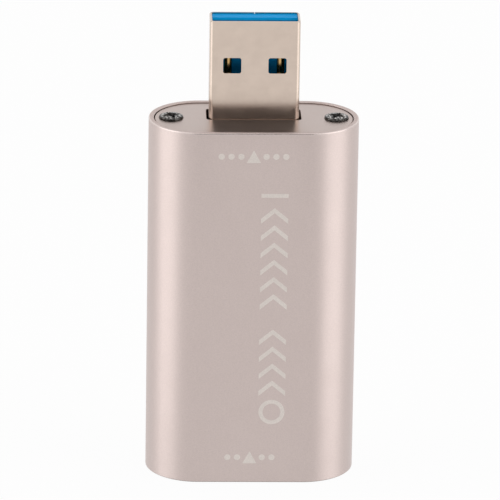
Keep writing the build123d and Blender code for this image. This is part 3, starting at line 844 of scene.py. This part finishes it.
@dataclass
class CaseTube(SubAssembly):
    """The extruded case, with its marks etched flush in the front, its screw ports and board rails."""

    wall: float = 0.7 * MM
    edge_round: float = 0.15 * MM
    edge_finish: int = 2
    rim_finish: int = 3
    inner_chamfer: float = 0.1 * MM
    side_steps: int = 72
    round_steps: int = 5
    port_x: float = 11.0 * MM
    port_radius: float = 1.9 * MM
    port_bore: float = 0.88 * MM
    port_slit: float = 0.9 * MM
    port_steps: int = 40
    web_width: float = 1.8 * MM
    wall_bite: float = 0.3 * MM
    rail_thickness: float = 0.7 * MM
    rail_hold: float = 0.6 * MM
    rail_gap: float = 0.1 * MM
    rail_steps: int = 6
    marks: FrontMarks = field(default_factory=FrontMarks)

    def __post_init__(self) -> None:
        """Take the case's outer size and inner heights from the frame."""
        self.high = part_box("case_tube")[1]
        self.half_thickness = self.high.y
        self.half_width = round(self.high.x / MM, 1) * MM
        self.ribs_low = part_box("input_end_plate")[1].z
        self.ribs_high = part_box("output_end_plate")[0].z

    def stations(self) -> list[Point]:
        """List the corners of the wall's section, once round.

        Returns:
            The corners, as offsets inwards from the outline and heights.
        """
        length, edge, bevel = self.high.z, self.edge_round, self.inner_chamfer
        turns = [math.pi / 2 * step / self.round_steps for step in range(self.round_steps + 1)]
        lower = [(edge - edge * math.sin(turn), edge - edge * math.cos(turn)) for turn in turns]
        upper = [(offset, length - height) for offset, height in lower[::-1]]
        inner = [(self.wall - bevel, length), (self.wall, length - bevel), (self.wall, bevel)]
        return [*lower, *upper, *inner, (self.wall - bevel, 0.0)]

    def walls(self, shape: Shape) -> None:
        """Add the wall, with the flat of its front left open for the marked panel.

        Args:
            shape: The mesh to add to.
        """
        stations = self.stations()
        rings = []
        for offset, height in stations:
            outline = oval(self.half_width - offset, self.half_thickness - offset, self.side_steps)
            rings.append(shape.level(outline, height))
        panel = self.round_steps
        front = len(rings[0]) - 1
        for number, ring in enumerate(rings):
            following = rings[(number + 1) % len(rings)]
            finish = 0
            # The rounded upper edge takes the lighter edge finish, whose tone paints a highlight.
            if panel < number <= panel + self.round_steps:
                finish = self.edge_finish
            elif number == panel + self.round_steps + 1:
                finish = self.rim_finish
            shape.bridge(ring, following, lambda index, n=number: n == panel and index == front, finish)

    def panel(self, shape: Shape) -> None:
        """Add the flat of the front, split along the outlines of the marks.

        Args:
            shape: The mesh to add to.
        """
        half = self.half_width - self.half_thickness
        low, high = self.edge_round, self.high.z - self.edge_round
        flat = [(-half, low), (half, low), (half, high), (-half, high)]
        shape.lay(
            Pattern([flat, *self.marks.outlines()]),
            lambda x, z, owner: Vector((x, -self.half_thickness, z)),
            lambda around: len(around - {0}) % 2,
        )

    def port_arc(self, radius: float, start: float, end: float) -> list[Point]:
        """An arc about the middle of the right screw port, from one angle to another."""
        turns = [start + (end - start) * step / self.port_steps for step in range(self.port_steps + 1)]
        return [(self.port_x + radius * math.cos(turn), radius * math.sin(turn)) for turn in turns]

    def port_outline(self) -> list[Point]:
        """Draw the right screw port with its web, as a C that opens towards the socket.

        Returns:
            The points, once round.
        """
        web, slit = self.web_width / 2, self.port_slit / 2
        outer_turn = math.pi - math.asin(slit / self.port_radius)
        upper = self.port_arc(self.port_radius, outer_turn, math.asin(web / self.port_radius))
        bore_turn = math.pi - math.asin(slit / self.port_bore)
        bore = self.port_arc(self.port_bore, bore_turn, -bore_turn)
        wall_x = self.half_width - self.wall + self.wall_bite
        lower = [(x, -y) for x, y in upper[::-1]]
        return [*bore[::-1], *upper, (wall_x, web), (wall_x, -web), *lower]

    def rail_outlines(self) -> list[list[Point]]:
        """Draw the two rails that hold the board's right edge.

        Returns:
            The outlines of the front rail and the back one.
        """
        board_low, board_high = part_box("circuit_board")
        near = board_high.x - self.rail_hold
        radius = self.half_thickness - self.wall + self.wall_bite
        centre = self.half_width - self.half_thickness

        def wall_x(y: float) -> float:
            """Where the wall's middle lies at a depth."""
            return centre + math.sqrt(radius**2 - y**2)

        top = board_low.y - self.rail_gap
        bottom = top - self.rail_thickness
        front = [(near, bottom), (wall_x(bottom), bottom), (wall_x(top), top), (near, top)]
        base = board_high.y + self.rail_gap
        back = [(near, base), (wall_x(base), base)]
        for step in range(1, self.rail_steps + 1):
            y = base + (math.sqrt(radius**2 - (near - centre) ** 2) - base) * step / self.rail_steps
            back.append((wall_x(y), y))
        return [front, back]

    def build(self) -> None:
        """Build the case in place of its CAD solid."""
        shape = Shape()
        self.walls(shape)
        self.panel(shape)
        for outline in [self.port_outline(), *self.rail_outlines()]:
            shape.prism(outline, self.ribs_low, self.ribs_high)
            shape.prism([(-x, y) for x, y in outline[::-1]], self.ribs_low, self.ribs_high)
        finishes = [Finishes.CASE, Finishes.ETCHED, Finishes.EDGE, Finishes.RIM]
        case = shape.finish("extruded_case", finishes, sharp=40.0)
        self.mount(case, "case_metal", "case_tube")


@dataclass
class EndPlate(SubAssembly):
    """An end plate: pressed flat, rolled down at its rim, with an opening and two seated screw holes."""

    node: str
    name: str
    outwards: int
    corners: list[Point]
    corner_radius: float
    growth: float
    side_steps: int = 64
    bevel: float = 0.05 * MM
    lip: float = 0.05 * MM
    roll_width: float = 1.5 * MM
    roll_drop: float = 0.04 * MM
    roll_steps: int = 6
    screw_x: float = 11.0 * MM
    seat_radius: float = 1.66 * MM
    seat_depth: float = 0.12 * MM
    hole_radius: float = 1.0 * MM
    round_steps: int = 48

    def __post_init__(self) -> None:
        """Take the plate's size and place from the frame."""
        low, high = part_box(self.node)
        self.outer_z, self.inner_z = (high.z, low.z) if self.outwards > 0 else (low.z, high.z)
        self.half_width, self.half_thickness = high.x, high.y

    def drop(self, inset: float) -> float:
        """How far the outer face has rolled down at a distance in from the rim."""
        return self.roll_drop * max(0.0, 1 - inset / self.roll_width) ** 2

    def face_z(self, x: float, y: float) -> float:
        """Work out how high the outer face is at a place.

        Args:
            x: The place.
            y: The place.

        Returns:
            The height.
        """
        beyond = max(0.0, abs(x) - self.half_width + self.half_thickness)
        inset = self.half_thickness - math.hypot(beyond, y)
        return self.outer_z - self.outwards * self.drop(inset)

    def outline(self, inset: float) -> list[Point]:
        """The plate's outline, moved in."""
        return oval(self.half_width - inset, self.half_thickness - inset, self.side_steps)

    def opening(self, growth: float) -> list[Point]:
        """The opening's outline, moved out."""
        return rounded(self.corners, self.corner_radius, self.growth + growth)

    def build(self) -> None:
        """Build the plate in place of its CAD solid."""
        shape = Shape()
        reach = self.roll_width - self.bevel
        insets = [self.bevel + reach * step / self.roll_steps for step in range(self.roll_steps + 1)]
        places = [side.value * self.screw_x for side in Side]
        seats = [circle(x, 0, self.seat_radius, self.round_steps) for x in places]
        holes = [circle(x, 0, self.hole_radius, self.round_steps) for x in places]
        rims = [self.outline(inset) for inset in insets]
        gaps = set(range(len(rims), len(rims) + 1 + len(seats)))
        cuts = set(range(1, 2 + len(holes)))
        shape.lay(
            Pattern([*rims, self.opening(self.lip), *seats]),
            lambda x, y, owner: Vector((x, y, self.face_z(x, y))),
            lambda around: None if around & gaps else 0,
        )
        shape.lay(
            Pattern([self.outline(0), self.opening(0), *holes]),
            lambda x, y, owner: Vector((x, y, self.inner_z)),
            lambda around: None if around & cuts else 0,
        )
        edge_z = self.outer_z - self.outwards * (self.drop(self.bevel) + self.bevel)
        upper = shape.level(rims[0], self.outer_z - self.outwards * self.drop(self.bevel))
        middle = shape.level(self.outline(0), edge_z)
        shape.bridge(upper, middle)
        shape.bridge(middle, shape.level(self.outline(0), self.inner_z))
        mouth = shape.level(self.opening(0), self.outer_z - self.outwards * self.lip)
        shape.bridge(shape.level(self.opening(self.lip), self.outer_z), mouth)
        shape.bridge(mouth, shape.level(self.opening(0), self.inner_z))
        floor = self.outer_z - self.outwards * self.seat_depth
        for x, hole in zip(places, holes):
            top = shape.level(hole, floor)
            shape.bridge(top, shape.level(hole, self.inner_z))
            shape.seat(x, 0, self.seat_radius, floor, top)
        self.mount(shape.finish(self.name, [Finishes.PLATE], sharp=40.0), "plate_metal", self.node)


@dataclass
class ScrewPair(SubAssembly):
    """The two screws of an end plate, with low domed cross heads and one unbroken thread each."""

    node: str
    name: str
    outwards: int
    turns: tuple[float, float]
    screw_x: float = 11.0 * MM
    head_radius: float = 1.6 * MM
    head_rim: float = 0.42 * MM
    head_height: float = 0.62 * MM
    edge_round: float = 0.12 * MM
    edge_steps: int = 4
    round_steps: int = 64
    dome_shares: tuple[float, ...] = (0.75, 0.5, 0.25)
    cross_reach: float = 1.15 * MM
    cross_half_width: float = 0.3 * MM
    cross_end_share: float = 0.7
    cross_heart: float = 0.15 * MM
    cross_depth: float = 0.48 * MM
    cross_floor_share: float = 0.65
    cross_lip: float = 0.05 * MM
    crest_radius: float = 0.85 * MM
    root_radius: float = 0.64 * MM
    tip_radius: float = 0.22 * MM
    pitch: float = 0.55 * MM
    crest_share: float = 0.5
    neck: float = 0.3 * MM
    point: float = 0.9 * MM
    length: float = 5.0 * MM
    thread_rows: int = 10
    thread_steps: int = 32

    def dome(self, radius: float) -> float:
        """Height of the head's top at a radius."""
        return self.head_height - (self.head_height - self.head_rim) * (radius / self.head_radius) ** 2

    def cross(self, turn: float, share: float, growth: float = 0.0) -> list[Point]:
        """The outline of the cross recess at one level.

        Args:
            turn: How far the cross is turned, in degrees.
            share: Its size at this level, as a share of its full size.
            growth: How far it is moved outwards.

        Returns:
            The points, anticlockwise.
        """
        reach, half = self.cross_reach * share + growth, self.cross_half_width * share + growth
        heart = half + self.cross_heart * share
        end = self.cross_end_share * half
        points = []
        for quarter in range(4):
            angle = math.radians(turn + 90 * quarter)
            across = Vector((math.cos(angle), math.sin(angle)))
            up = Vector((-math.sin(angle), math.cos(angle)))
            for x, y in ((reach, -end), (reach, end), (heart, half), (half, heart)):
                points.append(tuple(across * x + up * y))
        return points

    def head(self, shape: Shape, turn: float) -> None:
        """Add the head, with its seat at height zero and its cross cut in.

        Args:
            shape: The mesh to add to.
            turn: How far the cross is turned, in degrees.
        """
        profile = [(self.head_radius, 0.0)]
        for step in range(self.edge_steps + 1):
            angle = math.pi / 2 * step / self.edge_steps
            radius = self.head_radius - self.edge_round * (1 - math.cos(angle))
            height = self.head_rim - self.edge_round * (1 - math.sin(angle))
            profile.append((radius, min(height, self.dome(radius))))
        rings = [shape.level(circle(0, 0, radius, self.round_steps), height) for radius, height in profile]
        for lower, upper in zip(rings, rings[1:]):
            shape.bridge(lower, upper)
        shape.face(rings[0][::-1])
        top = profile[-1][0]
        radii = [top, *(self.cross_reach + (top - self.cross_reach) * share for share in self.dome_shares)]
        recess = len(radii) + 1
        crosses = [
            self.cross(turn, 1.0, self.cross_lip),
            self.cross(turn, 1.0),
            self.cross(turn, self.cross_floor_share),
        ]
        drops = {
            recess: self.cross_lip,
            recess + 1: self.cross_depth - self.head_height + self.dome(self.cross_reach / 2),
        }

        def place(x: float, y: float, owner: int) -> Vector:
            """Find where a point of the head's top lies.

            Args:
                x: Where it is drawn.
                y: Where it is drawn.
                owner: Number of the outline that it is on.

            Returns:
                Its place.
            """
            radius = math.hypot(x, y)
            height = profile[-1][1] if owner == 0 else self.dome(radius)
            return Vector((x, y, height - drops.get(owner, 0.0)))

        outlines = [circle(0, 0, radius, self.round_steps) for radius in radii]
        # Triangles of the cross recess take the darker copy of the steel, painted shade.
        shape.lay(Pattern([*outlines, *crosses]), place, lambda around: int(recess in around))

    def shank_radius(self, angle: float, depth: float) -> float:
        """Radius of the threaded shank, whose crest winds to the right and fades at both ends.

        Args:
            angle: Angle round the screw's axis.
            depth: Depth under the head.

        Returns:
            The radius.
        """
        level = (depth / self.pitch + angle / math.tau) % 1.0
        crest = max(0.0, 1 - abs(2 * level - 1) / self.crest_share)
        begun = min(1.0, max(0.0, depth / self.neck - 1))
        left = min(1.0, (self.length - depth) / self.point)
        root = self.tip_radius + (self.root_radius - self.tip_radius) * left
        return root + (self.crest_radius - self.root_radius) * crest * begun * left

    def shank(self, shape: Shape) -> None:
        """Add the threaded shank, from inside the head to its point.

        Args:
            shape: The mesh to add to.
        """
        rise = self.pitch / self.thread_rows
        angles = [math.tau * step / self.thread_steps for step in range(self.thread_steps)]
        depth, rings = -rise, []
        while depth < self.length - rise:
            radii = [self.shank_radius(angle, depth) for angle in angles]
            outline = [(radius * math.cos(a), radius * math.sin(a)) for radius, a in zip(radii, angles)]
            rings.append(shape.level(outline, -depth))
            depth += rise
        for upper, lower in zip(rings, rings[1:]):
            shape.bridge(upper, lower)
        shape.face(rings[0])
        shape.fan(rings[-1], Vector((0, 0, -self.length)))

    def build(self) -> None:
        """Build both screws in place of their CAD solids."""
        low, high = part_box(self.node)
        seat = high.z - self.head_height if self.outwards > 0 else low.z + self.head_height
        whole = Shape()
        for side, turn in zip(Side, self.turns):
            shape = Shape()
            self.head(shape, turn)
            self.shank(shape)
            flip = Matrix.Rotation(0 if self.outwards > 0 else math.pi, 4, "X")
            shape.mesh.transform(Matrix.Translation((side.value * self.screw_x, 0, seat)) @ flip)
            whole.take(shape)
        screws = whole.finish(self.name, [Finishes.SCREW, Finishes.RECESS], sharp=38.0)
        self.mount(screws, "screw_metal", self.node)


@dataclass
class EndClosures(SubAssembly):
    """The two end plates and their screws."""

    plug_thickness: float = 4.5 * MM
    slot_side_gap: float = 0.3 * MM
    slot_face_gap: float = 0.1 * MM
    slot_corner: float = 0.5 * MM
    socket_sheet: float = 0.3 * MM
    socket_plate_gap: float = 0.2 * MM
    socket_height: float = 4.55 * MM
    socket_corner_run: float = 1.5 * MM
    socket_corner_rise: float = 1.8 * MM
    socket_corner: float = 0.35 * MM
    left_turn: float = 22.0
    right_turn: float = 61.0

    def slot_corners(self) -> list[Point]:
        """Place the sharp corners of the slot round the data plug.

        Returns:
            The corners, anticlockwise.
        """
        low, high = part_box("plug_shell")
        half, front = high.x + self.slot_side_gap, low.y - self.slot_face_gap
        back = low.y + self.plug_thickness + self.slot_face_gap
        return [(-half, front), (half, front), (half, back), (-half, back)]

    def socket_corners(self) -> list[Point]:
        """Place the sharp corners of the video socket's opening.

        Returns:
            The corners, anticlockwise.
        """
        low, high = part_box("socket_shell")
        half, front = high.x - self.socket_sheet, low.y + self.socket_sheet
        back = front + self.socket_height
        corner_x, corner_y = half - self.socket_corner_run, back - self.socket_corner_rise
        right = [(half, front), (half, corner_y), (corner_x, back)]
        return [*right, *((-x, y) for x, y in right[::-1])]

    def build(self) -> None:
        """Build the plates and the screws of both ends."""
        EndPlate("output_end_plate", "output_plate", 1, self.slot_corners(), self.slot_corner, 0.0).build()
        socket_gap = self.socket_sheet + self.socket_plate_gap
        EndPlate(
            "input_end_plate", "input_plate", -1, self.socket_corners(), self.socket_corner, socket_gap
        ).build()
        ScrewPair("output_plate_screws", "output_screws", 1, (self.left_turn, self.right_turn)).build()
        ScrewPair("input_plate_screws", "input_screws", -1, (-self.right_turn, -self.left_turn)).build()


@dataclass
class DataPlug(SubAssembly):
    """The host plug: shell, blue tongue, and contacts that are pressed to a low crown."""

    contact_places: tuple[float, ...] = (-3.5 * MM, -1.0 * MM, 1.0 * MM, 3.5 * MM)
    contact_half_width: float = 0.49 * MM
    contact_thickness: float = 0.18 * MM
    contact_crown: float = 0.15 * MM
    crown_power: float = 1.5
    contact_edge: float = 0.02 * MM
    contact_steps: int = 16
    tip_length: float = 0.5 * MM
    tip_share: float = 0.45
    tip_steps: int = 4
    lead_foot: float = 0.55 * MM

    def section(self, share: float) -> list[Point]:
        """A contact's section, flat behind and crowned in front.

        Args:
            share: Its width as a share of the full width, which also lowers its crown.

        Returns:
            The points, as places across and out.
        """
        half, steps = self.contact_half_width * share, self.contact_steps
        base = -self.contact_thickness / 2
        front = []
        for step in range(steps + 1):
            across = 2 * step / steps - 1
            fall = abs(across) ** self.crown_power + 1 - share
            out = self.contact_thickness / 2 - self.contact_crown * fall
            front.append((half * across, max(out, base + self.contact_edge)))
        return [*front, (half, base), (-half, base)]

    def long_contacts(self) -> bpy.types.Object:
        """Make the four long contacts, from their rounded tips to their feet on the board.

        Returns:
            The new object.
        """
        low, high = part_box("plug_long_contacts")
        face_y = low.y + self.contact_thickness / 2
        foot_y = high.y - self.contact_thickness / 2
        turn_z = low.z + self.lead_foot
        path, shares = [], []
        for step in range(self.tip_steps + 1):
            along = step / self.tip_steps
            path.append(Vector((0, face_y, high.z - self.tip_length * along)))
            shares.append(self.tip_share + (1 - self.tip_share) * math.sin(math.pi / 2 * along))
        path += [Vector((0, y, z)) for y, z in ((face_y, turn_z), (foot_y, turn_z), (foot_y, low.z))]
        sections = [self.section(share) for share in [*shares, 1.0, 1.0, 1.0]]
        shape = Shape()
        for x in self.contact_places:
            shape.sweep([spot + Vector((x, 0, 0)) for spot in path], sections)
        return shape.finish("crowned_contacts", [Finishes.CONTACT], sharp=50.0)

    def build(self) -> None:
        """Build and dress the plug's pieces."""
        self.dress("plug_shell", Finishes.PLUG)
        self.dress("plug_tongue", Finishes.BLUE)
        self.dress("plug_short_contacts", Finishes.CONTACT)
        self.mount(self.long_contacts(), "contact_metal", "plug_long_contacts")


class VideoSocket(SubAssembly):
    """The video socket: shell, black tongue and contacts."""

    def build(self) -> None:
        """Dress the socket's pieces."""
        self.dress("socket_shell", Finishes.SOCKET)
        self.dress("socket_tongue", Finishes.BLACK)
        for node in ("socket_front_contacts", "socket_back_contacts"):
            self.dress(node, Finishes.CONTACT)


class CircuitBoard(SubAssembly):
    """The board and everything soldered to it."""

    def build(self) -> None:
        """Dress the board's pieces."""
        finishes = {
            "circuit_board": Finishes.BOARD,
            "solder_joints": Finishes.SOLDER,
            "insulating_sheet": Finishes.FILM,
            "capture_chip": Finishes.CHIP,
            "memory_chip": Finishes.CHIP,
            "regulators": Finishes.CHIP,
            "surge_arrays": Finishes.CHIP,
            "small_resistors": Finishes.CHIP,
            "capture_chip_pads": Finishes.LEAD,
            "memory_chip_leads": Finishes.LEAD,
            "regulator_leads": Finishes.LEAD,
            "power_inductor_terminals": Finishes.LEAD,
            "bulk_capacitor_terminals": Finishes.LEAD,
            "small_capacitor_ends": Finishes.LEAD,
            "small_resistor_ends": Finishes.LEAD,
            "crystal": Finishes.CAN,
            "power_inductor": Finishes.CORE,
            "bulk_capacitors": Finishes.TANTALUM,
            "line_filters": Finishes.FILTER,
            "small_capacitors": Finishes.CERAMIC,
        }
        for node, finish in finishes.items():
            self.dress(node, finish)


@dataclass(frozen=True)
class View:
    """The camera, aimed along a line that a distance, a height and a few angles describe."""

    distance: float = 826.037 * MM
    lens: float = 443.865
    sensor: float = 36.0
    elevation: float = math.radians(19.6555)
    turn: float = math.radians(1.9925)
    roll: float = math.radians(0.8841)
    aim_x: float = -0.2458 * MM
    aim_z: float = 30.6977 * MM
    near_clip: float = 10 * MM
    far_clip: float = 20.0

    def build(self) -> None:
        """Make the camera and set it as the scene's."""
        data = bpy.data.cameras.new("view")
        data.lens = self.lens
        data.sensor_width = self.sensor
        data.clip_start, data.clip_end = self.near_clip, self.far_clip
        across = Vector((1, 0, 0))
        back = Vector((0, -math.cos(self.elevation), math.sin(self.elevation)))
        up = back.cross(across)
        right = across * math.cos(self.roll) + up * math.sin(self.roll)
        top = up * math.cos(self.roll) - across * math.sin(self.roll)
        axes = Matrix((right, top, back)).transposed().to_4x4()
        place = Matrix.Translation(Vector((self.aim_x, 0, self.aim_z)) + back * self.distance)
        camera = bpy.data.objects.new("view", data)
        camera.matrix_world = Matrix.Rotation(-self.turn, 4, "Z") @ place @ axes
        bpy.context.scene.collection.objects.link(camera)
        bpy.context.scene.camera = camera


@dataclass(frozen=True)
class Card:
    """A flat card of the studio that stands round the object, lit or dark."""

    name: str
    azimuth: float
    half_angle: float
    low: float
    high: float
    distance: float
    light: float
    hidden: tuple[RayKind, ...]
    steps: int = 12

    def build(self) -> None:
        """Make the card, bowed round the object, as stage."""
        shape = Shape()
        shares = [2 * step / self.steps - 1 for step in range(self.steps + 1)]
        angles = [math.radians(self.azimuth + self.half_angle * share) for share in shares]
        outline = [(self.distance * math.sin(turn), -self.distance * math.cos(turn)) for turn in angles]
        lower = shape.level(outline, self.low)
        upper = shape.level(outline, self.high)
        for index in range(self.steps):
            shape.face((lower[index], lower[index + 1], upper[index + 1], upper[index]))
        card = shape.finish(self.name, [])
        material = bpy.data.materials.new(self.name)
        work = NodeWork(material)
        glow = work.node("ShaderNodeEmission", {"Strength": self.light})
        work.node("ShaderNodeOutputMaterial", {"Surface": glow.outputs["Emission"]})
        card.data.materials.append(material)
        for kind in self.hidden:
            setattr(card, kind.value, False)


@dataclass
class Studio:
    """Plain pale floor, white surroundings and soft cards round the object."""

    floor_half: float = 6.0
    floor_tone: float = 0.82
    floor_shadow_share: float = 0.05
    ambient: float = 0.78
    seen: float = 1.0
    seen_below: float = 0.25
    fade_start: float = -0.7
    fade_end: float = -0.9
    side_hidden: tuple[RayKind, ...] = (RayKind.CAMERA,)
    front_hidden: tuple[RayKind, ...] = (RayKind.CAMERA, RayKind.TRANSMISSION, RayKind.SHADOW)

    def cards(self) -> list[Card]:
        """Place the lit cards at the sides, the dark one in front, and a wide shade for matt pieces.

        Returns:
            The cards.
        """
        shade = {"azimuth": 0, "half_angle": 75, "low": -0.3, "high": 0.55, "distance": 0.65, "light": 0.0}
        side = {"half_angle": 25.3, "distance": 0.6, "hidden": self.side_hidden}
        front = {"azimuth": 0, "half_angle": 18, "low": 0.12, "high": 0.8, "distance": 0.7, "light": 0.0}
        return [
            Card("front_shade", **shade, hidden=(*self.front_hidden, RayKind.GLOSSY)),
            Card("left_card", azimuth=-77.3, low=-0.36, high=0.92, light=1.68, **side),
            Card("right_card", azimuth=68.1, low=-0.385, high=0.95, light=1.66, **side),
            Card("front_card", **front, hidden=self.front_hidden),
        ]

    def surroundings(self) -> None:
        """Light from all round, white where a camera or reflection sees it, with painted shade below for
        reflections.
        """
        world = bpy.data.worlds.new("surroundings")
        bpy.context.scene.world = world
        world.cycles.sampling_method = "NONE"
        work = NodeWork(world)
        path = work.node("ShaderNodeLightPath")
        largest = path.outputs["Is Camera Ray"]
        for name in ("Is Glossy Ray", "Is Transmission Ray"):
            largest = work.sum_up("MAXIMUM", largest, path.outputs[name])
        place = work.node("ShaderNodeTexCoord").outputs["Generated"]
        height = work.node("ShaderNodeSeparateXYZ", {0: place}).outputs["Z"]
        below = work.spread(height, self.seen_below, self.seen, self.fade_end, self.fade_start)
        level = work.spread(largest, self.ambient, below, 0.0, 1.0)
        background = work.node("ShaderNodeBackground", {"Color": (1, 1, 1, 1), "Strength": level})
        work.node("ShaderNodeOutputWorld", {"Surface": background.outputs["Background"]})

    def floor(self) -> None:
        """A pale floor that the camera sees as near white, with the object's soft shadow kept."""
        shape = Shape()
        half = self.floor_half
        corners = ((-half, -half), (half, -half), (half, half), (-half, half))
        shape.face(shape.level(corners, 0))
        floor = shape.finish("floor", [])
        material = bpy.data.materials.new("floor")
        work = NodeWork(material)
        tone = self.floor_tone
        matt = work.node("ShaderNodeBsdfDiffuse", {"Color": (tone, tone, tone, 1)})
        glow = work.node("ShaderNodeEmission")
        camera_ray = work.node("ShaderNodeLightPath").outputs["Is Camera Ray"]
        share = work.spread(camera_ray, 0.0, 1 - self.floor_shadow_share, 0.0, 1.0)
        feeds = {0: share, 1: matt.outputs["BSDF"], 2: glow.outputs["Emission"]}
        mix = work.node("ShaderNodeMixShader", feeds)
        work.node("ShaderNodeOutputMaterial", {"Surface": mix.outputs[0]})
        floor.data.materials.append(material)
        floor.visible_glossy = False

    def build(self) -> None:
        """Set up the floor, the surroundings, the cards and the colour handling."""
        bpy.context.scene.view_settings.view_transform = "Standard"
        self.surroundings()
        self.floor()
        for card in self.cards():
            card.build()


def main() -> None:
    """Build the object, sub-assembly by sub-assembly, in its studio."""
    logging.basicConfig(level=logging.INFO, format="%(name)s: %(message)s")
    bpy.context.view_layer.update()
    for part in (CaseTube(), EndClosures(), DataPlug(), VideoSocket(), CircuitBoard()):
        part.build()
        log.info("%s is done", type(part).__name__)
    Studio().build()
    View().build()


if __name__ == "__main__":
    main()
